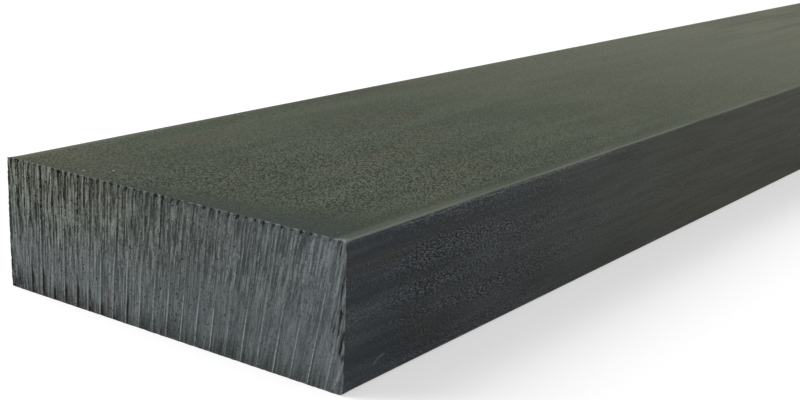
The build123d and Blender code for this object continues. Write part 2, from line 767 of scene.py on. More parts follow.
class NodeBench:
    """Adds and wires the nodes of one material."""

    def __init__(self, name: str) -> None:
        """Starts a material with no nodes but its output.

        Args:
            name: The material's name.
        """
        self.material = bpy.data.materials.new(name)
        self.material.use_nodes = True
        self.tree = self.material.node_tree
        self.tree.nodes.clear()
        self.output = self.add("ShaderNodeOutputMaterial")

    def add(self, kind: str, **settings: object) -> bpy.types.Node:
        """Adds a node and sets its own options.

        Args:
            kind: Blender's name for the node.
            settings: The options.

        Returns:
            The node.
        """
        node = self.tree.nodes.new(kind)
        for name, value in settings.items():
            setattr(node, name, value)
        return node

    def feed(self, target: Socket, value: object) -> None:
        """Wires a socket into another, or sets it to a number, colour or vector.

        Args:
            target: The socket that takes it.
            value: What it takes.
        """
        if isinstance(value, bpy.types.NodeSocket):
            self.tree.links.new(value, target)
        else:
            target.default_value = value

    def trait(self, trait: Trait) -> Socket:
        """Reads one of the bar's vertex traits."""
        return self.add("ShaderNodeAttribute", attribute_name=trait.value).outputs["Fac"]

    def sum(self, operation: str, first: Number, second: Number = 0.0) -> Socket:
        """Works out one sum of two numbers.

        Args:
            operation: Blender's name for the sum.
            first: The first number.
            second: The second number, where the sum has one.

        Returns:
            The result.
        """
        node = self.add("ShaderNodeMath", operation=operation)
        self.feed(node.inputs[0], first)
        self.feed(node.inputs[1], second)
        return node.outputs[0]

    def times(self, *factors: Number) -> Socket:
        """Multiplies two or more numbers.

        Args:
            factors: The numbers.

        Returns:
            Their product.
        """
        product = factors[0]
        for factor in factors[1:]:
            product = self.sum("MULTIPLY", product, factor)
        return product

    def grade(self, value: Number, start: float, end: float, low: Number = 0.0, high: Number = 1.0) -> Socket:
        """Grades a number smoothly from low, at the start, to high, at the end.

        Args:
            value: The number to grade.
            start: Where the result is low.
            end: Where it is high.
            low: The result at the start.
            high: The result at the end.

        Returns:
            The graded number.
        """
        node = self.add("ShaderNodeMapRange", interpolation_type="SMOOTHSTEP")
        sizes = (value, start, end, low, high)
        for name, size in zip(("Value", "From Min", "From Max", "To Min", "To Max"), sizes):
            self.feed(node.inputs[name], size)
        return node.outputs["Result"]

    def falling(self, value: Number, start: float, end: float, low: float = 0.0) -> Socket:
        """Grades a number smoothly from 1, at the lower start, to low, at the higher end."""
        return self.grade(value, start, end, 1.0, low)

    def blend(self, share: Number, first: Socket | Colour, second: Socket | Colour) -> Socket:
        """Mixes two colours.

        Args:
            share: How much of the second colour shows, 0 to 1.
            first: The first colour.
            second: The second colour.

        Returns:
            The mixed colour.
        """
        node = self.add("ShaderNodeMix", data_type="RGBA")
        self.feed(node.inputs["Factor"], share)
        self.feed(node.inputs["A"], first)
        self.feed(node.inputs["B"], second)
        return node.outputs["Result"]

    def scaled(self, vector: Socket, factor: Number) -> Socket:
        """Multiplies a colour or vector by a number.

        Args:
            vector: The colour or vector.
            factor: The number.

        Returns:
            The product.
        """
        node = self.add("ShaderNodeVectorMath", operation="SCALE")
        self.feed(node.inputs[0], vector)
        self.feed(node.inputs["Scale"], factor)
        return node.outputs["Vector"]

    def place(self) -> Socket:
        """The place on the bar, in millimetres."""
        return self.scaled(self.add("ShaderNodeTexCoord").outputs["Object"], 1 / MM)

    def parts(self, vector: Socket) -> tuple[Socket, Socket, Socket]:
        """Splits a vector into its three parts.

        Args:
            vector: The vector.

        Returns:
            Its X, Y and Z.
        """
        node = self.add("ShaderNodeSeparateXYZ")
        self.feed(node.inputs[0], vector)
        return node.outputs["X"], node.outputs["Y"], node.outputs["Z"]

    def joined(self, x: Number, y: Number, z: Number) -> Socket:
        """Joins three numbers into a vector.

        Args:
            x: The first number.
            y: The second.
            z: The third.

        Returns:
            The vector.
        """
        node = self.add("ShaderNodeCombineXYZ")
        for name, value in (("X", x), ("Y", y), ("Z", z)):
            self.feed(node.inputs[name], value)
        return node.outputs["Vector"]

    def turned(self, vector: Socket, angle: float) -> Socket:
        """Turns a vector about the upright axis, so that noise on it runs askew to the bar.

        Args:
            vector: The vector.
            angle: The turn, in radians.

        Returns:
            The turned vector.
        """
        node = self.add("ShaderNodeVectorRotate", rotation_type="Z_AXIS")
        self.feed(node.inputs["Vector"], vector)
        node.inputs["Angle"].default_value = -angle
        return node.outputs["Vector"]

    def divided(self, vector: Socket, cell: Triple) -> Socket:
        """Divides a vector by the size of a cell.

        Args:
            vector: The vector.
            cell: The cell's sizes.

        Returns:
            The place in cells.
        """
        node = self.add("ShaderNodeVectorMath", operation="DIVIDE")
        self.feed(node.inputs[0], vector)
        self.feed(node.inputs[1], cell)
        return node.outputs["Vector"]

    def noise(self, vector: Socket, cloud: Cloud) -> Socket:
        """Reads cloudy noise, about 0.5 on average.

        Args:
            vector: The place to read, in millimetres.
            cloud: The noise.

        Returns:
            The noise, mostly from 0.3 to 0.7.
        """
        node = self.add("ShaderNodeTexNoise")
        self.feed(node.inputs["Vector"], self.divided(vector, cloud.cell))
        node.inputs["Scale"].default_value = 1.0
        node.inputs["Detail"].default_value = cloud.detail
        return node.outputs["Fac"]

    def lot(self, number: Socket) -> Socket:
        """Draws a lot from 0 to 1 for a whole number.

        Args:
            number: The whole number.

        Returns:
            The lot.
        """
        node = self.add("ShaderNodeTexWhiteNoise", noise_dimensions="1D")
        self.feed(node.inputs["W"], number)
        return node.outputs["Value"]

    def patch(self, vector: Socket, middle: Triple, reach: Triple) -> Socket:
        """Marks one soft round patch: 1 at its middle and 0 beyond its reach along each axis.

        Args:
            vector: The place to read, in millimetres.
            middle: The patch's middle.
            reach: How far it reaches along each axis.

        Returns:
            How far a point lies in it.
        """
        node = self.add("ShaderNodeVectorMath", operation="SUBTRACT")
        self.feed(node.inputs[0], vector)
        self.feed(node.inputs[1], middle)
        size = self.add("ShaderNodeVectorMath", operation="LENGTH")
        self.feed(size.inputs[0], self.divided(node.outputs["Vector"], reach))
        return self.falling(size.outputs["Value"], 0.2, 1.0)

    def spots(self, vector: Socket, pitch: float, share: float, radius: float) -> Socket:
        """Scatters small round spots.

        Args:
            vector: The place to read, in millimetres.
            pitch: How far apart spots can lie.
            share: How many of those places hold one, 0 to 1.
            radius: A spot's radius, in millimetres.

        Returns:
            1 in a spot and 0 elsewhere.
        """
        node = self.add("ShaderNodeTexVoronoi")
        self.feed(node.inputs["Vector"], self.divided(vector, (pitch, pitch, pitch)))
        node.inputs["Scale"].default_value = 1.0
        chosen = self.sum("LESS_THAN", self.parts(node.outputs["Color"])[0], share)
        within = self.falling(node.outputs["Distance"], radius * 0.5 / pitch, radius / pitch)
        return self.times(chosen, within)

    def bump(self, height: object, depth: float) -> Socket:
        """Tilts the surface by a height from 0 to 1, whose full depth is given in millimetres.

        Args:
            height: The height, 0 to 1.
            depth: Its full depth, in millimetres.

        Returns:
            The tilted normal.
        """
        node = self.add("ShaderNodeBump")
        self.feed(node.inputs["Height"], height)
        node.inputs["Distance"].default_value = depth * MM
        return node.outputs["Normal"]

    def finished(
        self,
        colour: Socket,
        roughness: Socket,
        normal: Socket,
        specular: float,
        metallic: float = 0.0,
    ) -> bpy.types.Material:
        """Sends the finish to the surface.

        Args:
            colour: Its colour.
            roughness: Its roughness.
            normal: Its bump.
            specular: How strongly it reflects, the same all over.
            metallic: How metallic it is, the same all over.

        Returns:
            The material.
        """
        shader = self.add("ShaderNodeBsdfPrincipled")
        self.feed(shader.inputs["Base Color"], colour)
        self.feed(shader.inputs["Roughness"], roughness)
        self.feed(shader.inputs["Normal"], normal)
        shader.inputs["Specular IOR Level"].default_value = specular
        shader.inputs["Metallic"].default_value = metallic
        self.feed(self.output.inputs["Surface"], shader.outputs["BSDF"])
        return self.material


@dataclass(frozen=True)
class SkinSpot:
    """Where a point of the skin lies, in millimetres, and the noises that its colours share."""

    place: Socket
    x: Socket
    y: Socket
    z: Socket
    to_cut: Socket
    to_edge: Socket
    to_face: Socket
    wobble: Socket
    clouds: Socket
    bands: Socket
    streaks: Socket
    peel: Socket
    fine: Socket


@dataclass(frozen=True)
class Stain:
    """A soft round patch of another colour: its middle and reach in millimetres, and its strength."""

    middle: Triple
    reach: Triple
    strength: float
    colour: Colour


@dataclass(frozen=True)
class MillScale:
    """The matt oxide that hot rolling leaves: olive grey on the faces, charcoal on the edges."""

    length: float
    section: RolledSection

    # The wide faces
    face: Colour = srgb(56, 64, 49)
    face_light: Colour = srgb(68, 75, 60)
    face_warm: Colour = srgb(72, 70, 54)
    face_worn: Colour = srgb(82, 80, 64)
    # Painted sheen: the faces lighten towards this far along the bar and towards the back edge
    far_face_sheen: Colour = srgb(97, 100, 83)
    face_crest: Colour = srgb(98, 105, 88)
    washed: Colour = srgb(47, 56, 51)
    pit: Colour = srgb(22, 25, 21)

    # The narrow edges
    edge: Colour = srgb(69, 74, 78)
    edge_light: Colour = srgb(86, 91, 96)
    edge_warm: Colour = srgb(82, 78, 73)
    # Painted sheen: the edges lighten towards this far along the bar
    far_edge_sheen: Colour = srgb(95, 97, 88)
    edge_crest: Colour = srgb(134, 137, 134)
    edge_pit: Colour = srgb(14, 16, 17)

    # Metal that shows where the scale is rubbed; rim and rim_line also paint a highlight along the rounded
    # corners
    rim: Colour = srgb(112, 119, 106)
    rim_line: Colour = srgb(142, 149, 138)
    speck: Colour = srgb(146, 152, 148)
    glint: Colour = srgb(205, 210, 205)

    specular: float = 0.07
    roughness: float = 0.58
    polish_swing: float = 0.08
    peel_depth: float = 0.1
    peel_skew: float = 0.43

    # From large to small: soft clouds and lengthwise bands, ragged borders, peel and speckle
    clouds: Cloud = Cloud((34.0, 14.0, 9.0), 2.0)
    smudges: Cloud = Cloud((30.0, 13.0, 4.5), 2.0)
    bands: Cloud = Cloud((70.0, 5.0, 3.2), 2.0)
    streaks: Cloud = Cloud((22.0, 1.2, 0.9))
    wobble: Cloud = Cloud((1.6, 1.6, 1.6))
    peel: Cloud = Cloud((0.66, 0.28, 0.33), 0.3)
    fine: Cloud = Cloud((0.58, 0.3, 0.22), 0.5)
    dot_rise: Cloud = Cloud((3.0, 9.0, 9.0), 2.0)
    dot_breaks: Cloud = Cloud((0.7, 0.3, 0.3), 2.5)

    # How strong each layer is, 0 to 1
    warm_share: float = 0.85
    far_sheen_share: float = 0.85
    washed_share: float = 0.85
    pit_share: float = 0.7
    crest_share: float = 0.52
    edge_crest_share: float = 0.9
    dot_share: float = 0.8
    scratch_share: float = 0.8
    glint_share: float = 0.6
    speck_share: float = 0.8

    # The washed strip by a cut and the smooth one beyond it narrow away from the exit edge.
    exit_edge: float = -40.0
    front_wobble: float = 3.0
    washed_slant: float = 0.2
    smooth_slant: float = 0.32

    # A worn corner at the back, a warm smudge and a dark shadow along the back edge
    stains: tuple[Stain, ...] = (
        Stain((-246.0, 36.0, 25.0), (18.0, 26.0, 8.0), 0.55, face_worn),
        Stain((-163.0, 10.7, 25.0), (9.0, 4.5, 3.0), 0.5, face_warm),
        Stain((-158.0, 39.0, 25.0), (42.0, 7.0, 6.0), 0.4, pit),
    )

    # Painted glints: bright specks, two on top and one low on the edge; and the burr at the near corner
    painted_glints: tuple[Triple, ...] = ((-247.3, 21.8, 25.0), (-243.8, 18.0, 25.0), (-242.9, -40.0, 1.3))
    speck_reach: Triple = (0.45, 0.3, 0.2)
    burr_middle: Triple = (-250.0, -39.6, 25.0)
    burr_reach: Triple = (1.6, 2.2, 0.7)

    # Small round specks strewn everywhere
    strewn_pitch: float = 2.6
    strewn_share: float = 0.06
    strewn_radius: float = 0.18

    # The curved scratch: the middle of its arc in X and Z, and where along the bar it runs
    scratch_middle: tuple[float, float] = (-239.94, 0.515)
    scratch_radius: float = 3.5
    scratch_span: tuple[float, float] = (-242.6, -239.4)
    scratch_taper: float = 0.4

    def spot(self, bench: NodeBench) -> SkinSpot:
        """Measures a point of the skin and reads the noises there.

        Args:
            bench: The bench to wire on.

        Returns:
            The point, with how far in it lies from the nearer cut, narrow edge and wide face.
        """
        place = bench.place()
        x, y, z = bench.parts(place)
        half_thickness = self.section.thickness / 2
        from_middle = bench.sum("ABSOLUTE", bench.sum("SUBTRACT", z, half_thickness))
        return SkinSpot(
            place=place,
            x=x,
            y=y,
            z=z,
            to_cut=bench.sum("SUBTRACT", self.length / 2, bench.sum("ABSOLUTE", x)),
            to_edge=bench.sum("SUBTRACT", self.section.width / 2, bench.sum("ABSOLUTE", y)),
            to_face=bench.sum("SUBTRACT", half_thickness, from_middle),
            wobble=bench.noise(place, self.wobble),
            clouds=bench.noise(place, self.clouds),
            bands=bench.noise(place, self.bands),
            streaks=bench.noise(place, self.streaks),
            peel=bench.noise(bench.turned(place, self.peel_skew), self.peel),
            fine=bench.noise(place, self.fine),
        )

    def tinted(self, bench: NodeBench, spot: SkinSpot) -> tuple[Socket, Socket]:
        """Lays the large soft clouds and bands, which run on from the olive scale to the charcoal, and a painted
        sheen that lightens both far along the bar.

        Args:
            bench: The bench to wire on.
            spot: The point of the skin.

        Returns:
            The colours of the wide faces and of the narrow edges.
        """
        light = bench.grade(bench.sum("ADD", spot.clouds, spot.bands), 0.82, 1.2)
        warm = bench.grade(bench.noise(spot.place, self.smudges), 0.54, 0.72, 0.0, self.warm_share)
        face = bench.blend(warm, bench.blend(light, self.face, self.face_light), self.face_warm)
        # Painted sheen: lighter towards the far end, and a little towards the back edge
        far = bench.times(bench.grade(spot.x, -200.0, 60.0), self.far_sheen_share)
        face = bench.blend(far, face, self.far_face_sheen)
        face = bench.blend(bench.grade(spot.y, 0.0, 40.0, 0.02, 0.16), face, self.far_face_sheen)
        least = bench.grade(spot.x, -30.0, 90.0, 1.0, 0.8)
        most = bench.grade(spot.x, -30.0, 90.0, 1.0, 1.12)
        face = bench.scaled(face, bench.grade(spot.bands, 0.36, 0.64, least, most))
        for stain in self.stains:
            share = bench.times(bench.patch(spot.place, stain.middle, stain.reach), stain.strength)
            face = bench.blend(share, face, stain.colour)
        edge = bench.blend(light, self.edge, self.edge_light)
        edge = bench.blend(bench.times(warm, 0.6), edge, self.edge_warm)
        # Painted sheen: the edges lighten towards the far end
        return face, bench.blend(bench.grade(spot.x, -245.0, -95.0), edge, self.far_edge_sheen)

    def from_cut(self, bench: NodeBench, spot: SkinSpot, slant: float) -> Socket:
        """How far a point lies from the nearer cut, counted with a ragged and slanted front.

        Args:
            bench: The bench to wire on.
            spot: The point of the skin.
            slant: How much further it counts for each millimetre from the exit edge.

        Returns:
            The distance, in millimetres.
        """
        slanted = bench.times(bench.sum("SUBTRACT", spot.y, self.exit_edge), slant)
        front = bench.sum("ADD", bench.times(spot.wobble, self.front_wobble), slanted)
        return bench.sum("ADD", spot.to_cut, front)

    def rough(self, bench: NodeBench, spot: SkinSpot) -> Socket:
        """Where the scale is rough: least by the cuts, along the edges, at the back and far along.

        Args:
            bench: The bench to wire on.
            spot: The point of the skin.

        Returns:
            How rough it is, 0 to 1.
        """
        back = bench.times(
            bench.grade(spot.y, -8.0, 34.0, 0.0, 0.8),
            bench.grade(spot.x, -244.0, -205.0, 0.5, 1.0),
        )
        smooth = bench.falling(self.from_cut(bench, spot, self.smooth_slant), 9.0, 25.0)
        smooth = bench.sum("MAXIMUM", smooth, bench.falling(spot.to_edge, 1.5, 6.0))
        smooth = bench.sum("MAXIMUM", smooth, bench.times(bench.grade(spot.x, -212.0, -130.0), 0.84))
        smooth = bench.sum("MAXIMUM", smooth, back)
        return bench.times(bench.grade(spot.clouds, 0.34, 0.56, 0.6, 1.0), bench.sum("SUBTRACT", 1.0, smooth))

    def peeled(self, bench: NodeBench, spot: SkinSpot, face: Socket, rough: Socket) -> Socket:
        """Washes the face by the cuts and lays its peel: shallow cells with dark pits between them.

        Args:
            bench: The bench to wire on.
            spot: The point of the skin.
            face: The face's colour so far.
            rough: How rough the scale is, 0 to 1.

        Returns:
            The face's colour.
        """
        washed = bench.falling(self.from_cut(bench, spot, self.washed_slant), 4.0, 22.0)
        face = bench.blend(bench.times(washed, self.washed_share), face, self.washed)
        pits = bench.times(bench.falling(spot.peel, 0.42, 0.47), rough)
        face = bench.blend(bench.times(pits, self.pit_share), face, self.pit)
        crests = bench.times(bench.grade(spot.peel, 0.53, 0.58), rough)
        return bench.blend(bench.times(crests, self.crest_share), face, self.face_crest)

    def speckled(self, bench: NodeBench, spot: SkinSpot, edge: Socket) -> Socket:
        """Streaks the edges and lays their speckle, which is finer and drier than the peel.

        Args:
            bench: The bench to wire on.
            spot: The point of the skin.
            edge: The edges' colour so far.

        Returns:
            The edges' colour.
        """
        edge = bench.scaled(edge, bench.grade(spot.streaks, 0.3, 0.7, 0.9, 1.1))
        share = bench.times(
            bench.grade(spot.bands, 0.38, 0.58, 0.4, 1.0),
            bench.grade(spot.to_cut, 7.0, 22.0, 0.4, 1.0),
            bench.grade(spot.x, -214.0, -165.0, 1.0, 0.35),
            bench.grade(spot.to_face, 1.0, 6.0, 0.4, 1.0),
        )
        edge = bench.blend(bench.times(bench.falling(spot.fine, 0.41, 0.44), share), edge, self.edge_pit)
        crests = bench.times(bench.grade(spot.fine, 0.625, 0.655), share, self.edge_crest_share)
        return bench.blend(crests, edge, self.edge_crest)

    def rubbed_and_highlight(self, bench: NodeBench, spot: SkinSpot, face: Socket) -> Socket:
        """Rubs the face's borders and paints a highlight on them: a light strip and a bright line by the edges,
        a line by the cuts.

        Args:
            bench: The bench to wire on.
            spot: The point of the skin.
            face: The face's colour so far.

        Returns:
            The face's colour.
        """
        # Painted highlight on rubbed scale: a light strip and a bright line along the rounded edges, and a
        # broken line along the cuts' arrises
        strip = bench.falling(bench.sum("ADD", spot.to_edge, bench.times(spot.wobble, 0.6)), 2.1, 3.5)
        strip = bench.times(strip, bench.grade(spot.x, -238.0, -190.0, 0.34, 0.14))
        face = bench.blend(strip, face, self.rim)
        line = bench.times(bench.falling(spot.to_edge, 0.7, 1.25), bench.grade(spot.streaks, 0.3, 0.6, 0.3, 0.6))
        face = bench.blend(line, face, self.rim_line)
        broken = bench.grade(spot.wobble, 0.4, 0.62, 0.05, 0.6)
        return bench.blend(bench.times(bench.falling(spot.to_cut, 0.12, 0.3), broken), face, self.rim_line)

    def dotted(self, bench: NodeBench, spot: SkinSpot, edge: Socket) -> Socket:
        """Dots the edges with bright metal, a little below the rubbed corner.

        Args:
            bench: The bench to wire on.
            spot: The point of the skin.
            edge: The edges' colour so far.

        Returns:
            The edges' colour.
        """
        rise = bench.grade(bench.noise(spot.place, self.dot_rise), 0.3, 0.7, 0.4, 0.7)
        off_row = bench.sum("ABSOLUTE", bench.sum("SUBTRACT", spot.to_face, rise))
        dots = bench.times(
            bench.falling(off_row, 0.06, 0.2),
            bench.grade(bench.noise(spot.place, self.dot_breaks), 0.42, 0.62, 0.1, 1.0),
            bench.grade(spot.to_cut, 10.0, 18.0),
            bench.falling(spot.x, -200.0, -120.0),
        )
        return bench.blend(bench.times(dots, self.dot_share), edge, self.rim_line)

    def scratch(self, bench: NodeBench, spot: SkinSpot) -> Socket:
        """A fine curved scratch low on the exit edge, by the near cut.

        Args:
            bench: The bench to wire on.
            spot: The point of the skin.

        Returns:
            1 in the scratch and 0 elsewhere.
        """
        middle_x, middle_z = self.scratch_middle
        start, end = self.scratch_span
        away_x = bench.sum("SUBTRACT", spot.x, middle_x)
        away_z = bench.sum("SUBTRACT", spot.z, middle_z)
        squares = bench.sum("ADD", bench.times(away_x, away_x), bench.times(away_z, away_z))
        off_arc = bench.sum("ABSOLUTE", bench.sum("SUBTRACT", bench.sum("SQRT", squares), self.scratch_radius))
        within = bench.times(
            bench.grade(spot.x, start, start + self.scratch_taper),
            bench.falling(spot.x, end - self.scratch_taper, end),
            bench.sum("LESS_THAN", spot.y, 0.0),
            bench.sum("GREATER_THAN", away_z, 0.0),
        )
        return bench.times(bench.falling(off_arc, 0.04, 0.14), within)

    def marked(self, bench: NodeBench, spot: SkinSpot, colour: Socket) -> Socket:
        """Adds the single marks: the scratch, the painted glints, the burr and the strewn specks.

        Args:
            bench: The bench to wire on.
            spot: The point of the skin.
            colour: The skin's colour so far.

        Returns:
            The skin's colour.
        """
        colour = bench.blend(bench.times(self.scratch(bench, spot), self.scratch_share), colour, self.rim_line)
        # Painted glints, in the glint colour
        for middle in self.painted_glints:
            share = bench.times(bench.patch(spot.place, middle, self.speck_reach), self.glint_share)
            colour = bench.blend(share, colour, self.glint)
        burr = bench.patch(spot.place, self.burr_middle, self.burr_reach)
        burr = bench.times(burr, bench.grade(spot.peel, 0.42, 0.52, 0.3, 1.0))
        colour = bench.blend(burr, colour, self.speck)
        strewn = bench.spots(spot.place, self.strewn_pitch, self.strewn_share, self.strewn_radius)
        return bench.blend(bench.times(strewn, self.speck_share), colour, self.speck)

    def material(self) -> bpy.types.Material:
        """Makes the finish.

        Returns:
            The material for the rolled skin.
        """
        bench = NodeBench("mill_scale")
        spot = self.spot(bench)
        narrow = bench.grade(bench.sum("ADD", spot.to_face, bench.times(spot.wobble, 0.1)), 0.28, 0.37)
        rough = self.rough(bench, spot)
        face, edge = self.tinted(bench, spot)
        face = self.rubbed_and_highlight(bench, spot, self.peeled(bench, spot, face, rough))
        edge = self.dotted(bench, spot, self.speckled(bench, spot, edge))
        colour = self.marked(bench, spot, bench.blend(narrow, face, edge))
        dull, bright = self.roughness + self.polish_swing, self.roughness - self.polish_swing
        polish = bench.grade(spot.peel, 0.3, 0.7, dull, bright)
        height = bench.blend(narrow, bench.times(spot.peel, rough), bench.times(spot.fine, 0.6))
        return bench.finished(colour, polish, bench.bump(height, self.peel_depth), self.specular)


@dataclass(frozen=True)
class StrokeGrain:
    """Noise drawn out along the blade strokes, with its blobs' size in millimetres."""

    wide: float
    long: float
    layer: float  # which of the noise's layers is read
    detail: float = 1.0  # how many finer layers are added


@dataclass(frozen=True)
class Hairs:
    """Straight broken lines side by side, in millimetres."""

    pitch: float
    half_width: float
    run: float  # how long they run on between gaps
    gaps: float  # their share of gaps
    sway: float = 0.09  # how far they stray from their places
    fray: float = 0.13  # how far their sides are frayed


@dataclass(frozen=True)
class CutSpot:
    """Where a point of a sawn end lies, in millimetres, and how hard the teeth scored it."""

    place: Socket
    up: Socket
    stroke: Socket
    side: Socket  # differs from one sawn end to the other
    harsh: Socket


@dataclass(frozen=True)
class SawnSteel:
    """Bare steel as the saw left it: dull blue-grey, scored, with bright rubbed lines painted as highlights,
    each with a painted shadow beside it.
    """

    thickness: float

    bare: Colour = srgb(93, 100, 102)
    oiled: Colour = srgb(102, 106, 92)
    score: Colour = srgb(15, 18, 17)
    light: Colour = srgb(150, 156, 152)
    # Rubbed metal with a painted highlight, for the weld's lines and the cut's top edge
    rubbed_and_highlight: Colour = srgb(160, 167, 165)
    pale: Colour = srgb(142, 149, 147)
    brown: Colour = srgb(97, 90, 87)
    metallic: float = 0.6
    roughness: float = 0.45
    specular: float = 0.2
    relief: float = 0.08

    # The weld's lines, each with a painted shadow beside it
    feed: float = 3.25
    line_width: float = 0.1
    lee_off: float = 0.26
    shadow_share: float = 0.5

    # Scores in line with the teeth, and short dashes between them
    scores: Hairs = Hairs(0.87, 0.22, 3.0, 0.41)
    dashes: Hairs = Hairs(0.83, 0.2, 0.9, 0.57)
    dash_share: float = 0.45
    reach_below_bite: float = 9.0

    # Fine streaks, built up from long runs and short jags; their bright side is painted glint
    runs: StrokeGrain = StrokeGrain(0.3, 5.0, 3.4, 0.6)
    jags: StrokeGrain = StrokeGrain(0.28, 0.55, 11.2, 0.5)
    run_share: float = 0.78
    jag_share: float = 0.22
    glint_streak_share: float = 0.66

    # What breaks up the streaks, the lines and the rim, and what dots and speckles the rest
    breaks: StrokeGrain = StrokeGrain(0.4, 1.9, 7.9, 1.5)
    line_breaks: StrokeGrain = StrokeGrain(2.0, 0.6, 0.34, 1.5)
    rim_breaks: StrokeGrain = StrokeGrain(0.7, 9.0, 0.34)
    pits: StrokeGrain = StrokeGrain(0.3, 0.42, 9.0)
    speckle: StrokeGrain = StrokeGrain(0.27, 2.2, 0.34)
    fraying: Cloud = Cloud((9.0, 0.9, 0.7))
    stains: Cloud = Cloud((4.0, 2.6, 5.0), 2.0)
    grit: Cloud = Cloud((0.3, 0.22, 0.2))
    rust_share: float = 0.55

    def spot(self, bench: NodeBench) -> CutSpot:
        """Measures a point of a sawn end.

        Args:
            bench: The bench to wire on.

        Returns:
            The point.
        """
        place = bench.place()
        x, _, up = bench.parts(place)
        side = bench.sum("ADD", bench.times(bench.sum("SIGN", x), 50.0), 0.37)
        return CutSpot(place, up, bench.trait(Trait.STROKE), side, bench.trait(Trait.HARSH))

    def along(self, bench: NodeBench, spot: CutSpot, grain: StrokeGrain) -> Socket:
        """Reads noise along the blade strokes.

        Args:
            bench: The bench to wire on.
            spot: The point of the sawn end.
            grain: The noise.

        Returns:
            The noise, mostly from 0.3 to 0.7.
        """
        place = bench.joined(spot.stroke, spot.up, bench.sum("ADD", spot.side, grain.layer))
        return bench.noise(place, Cloud((grain.wide, grain.long, 1.0), grain.detail))

    def hairs(
        self,
        bench: NodeBench,
        spot: CutSpot,
        count: Socket,
        style: Hairs,
        unbroken: Number = 0.0,
    ) -> Socket:
        """Draws straight broken lines, one on each whole number.

        Args:
            bench: The bench to wire on.
            spot: The point of the sawn end.
            count: The number of lines up to it.
            style: What the lines are like.
            unbroken: Where they run on without gaps, 0 to 1.

        Returns:
            The strength of the lines, 0 to 1.
        """
        number = bench.sum("ROUND", count)
        own_place = bench.joined(bench.times(number, 5.3), spot.up, spot.side)
        fray = bench.joined(bench.sum("ADD", count, 0.4), spot.up, spot.side)
        fray = bench.noise(fray, Cloud((0.3 / style.pitch, 0.45, 1.0)))
        fray = bench.grade(fray, 0.3, 0.7, -style.fray, style.fray)
        sway = bench.noise(own_place, Cloud((1.0, 1.4, 1.0)))
        sway = bench.grade(sway, 0.2, 0.8, -style.sway, style.sway)
        away = bench.times(bench.sum("SUBTRACT", count, number), style.pitch)
        away = bench.sum("ADD", bench.sum("ABSOLUTE", bench.sum("SUBTRACT", away, sway)), fray)
        runs = bench.noise(own_place, Cloud((1.0, style.run, 1.0), 2.2))
        runs = bench.sum("MAXIMUM", bench.grade(runs, style.gaps - 0.02, style.gaps + 0.03), unbroken)
        strength = bench.grade(bench.lot(bench.sum("ADD", number, spot.side)), 0.0, 1.0, 0.65, 1.0)
        return bench.times(bench.falling(away, style.half_width * 0.5, style.half_width * 1.3), runs, strength)

    def scored(self, bench: NodeBench, spot: CutSpot, high: Socket) -> Socket:
        """Draws the scores in line with the teeth, unbroken below a bite.

        Args:
            bench: The bench to wire on.
            spot: The point of the sawn end.
            high: How far it lies in the harshly scored upper part, 0 to 1.

        Returns:
            The strength of the scores, 0 to 1.
        """
        teeth = bench.trait(Trait.TOOTH)
        half = bench.times(bench.sum("ROUND", teeth), 0.5)
        off_bite = bench.sum("ABSOLUTE", bench.sum("SUBTRACT", half, bench.sum("ROUND", half)))
        down = bench.sum("SUBTRACT", self.thickness, spot.up)
        past_reach = bench.sum("SUBTRACT", down, bench.times(bench.lot(half), self.reach_below_bite))
        unbroken = bench.times(
            bench.sum("LESS_THAN", off_bite, 0.25),
            bench.falling(past_reach, 1.0, 1.5),
            bench.grade(bench.noise(spot.place, self.fraying), 0.36, 0.5, 0.7, 1.0),
        )
        score = self.hairs(bench, spot, teeth, self.scores, unbroken)
        worn = bench.sum("MAXIMUM", bench.grade(spot.harsh, 0.1, 0.85), bench.times(high, 0.55))
        return bench.times(score, worn, bench.trait(Trait.FORCE))

    def streaked(self, bench: NodeBench, spot: CutSpot, high: Socket) -> tuple[Socket, Socket]:
        """Draws fine streaks along the strokes.

        Args:
            bench: The bench to wire on.
            spot: The point of the sawn end.
            high: How far it lies in the harshly scored upper part, 0 to 1.

        Returns:
            The strengths of the dark streaks and of the bright ones, which are painted glints, 0 to 1.
        """
        runs = bench.times(self.along(bench, spot, self.runs), self.run_share)
        jags = bench.times(self.along(bench, spot, self.jags), self.jag_share)
        streaks = bench.sum("ADD", runs, jags)
        breaks = bench.grade(self.along(bench, spot, self.breaks), 0.36, 0.48, 0.3, 1.0)
        keen = bench.sum("MAXIMUM", spot.harsh, bench.times(high, 0.6))
        dark = bench.times(bench.falling(streaks, 0.42, 0.48), breaks, keen)
        return dark, bench.times(bench.grade(streaks, 0.53, 0.6), breaks, keen, self.glint_streak_share)

    def pitted(self, bench: NodeBench, spot: CutSpot) -> Socket:
        """Draws small pits and short dashes, fewer towards the exit edge.

        Args:
            bench: The bench to wire on.
            spot: The point of the sawn end.

        Returns:
            Their strength, 0 to 1.
        """
        pits = bench.falling(self.along(bench, spot, self.pits), 0.3, 0.36)
        pits = bench.times(pits, bench.falling(spot.stroke, 40.0, 66.0, 0.55))
        count = bench.times(spot.stroke, 1 / self.dashes.pitch)
        dashes = bench.times(self.hairs(bench, spot, count, self.dashes), self.dash_share)
        return bench.sum("MAXIMUM", pits, dashes)

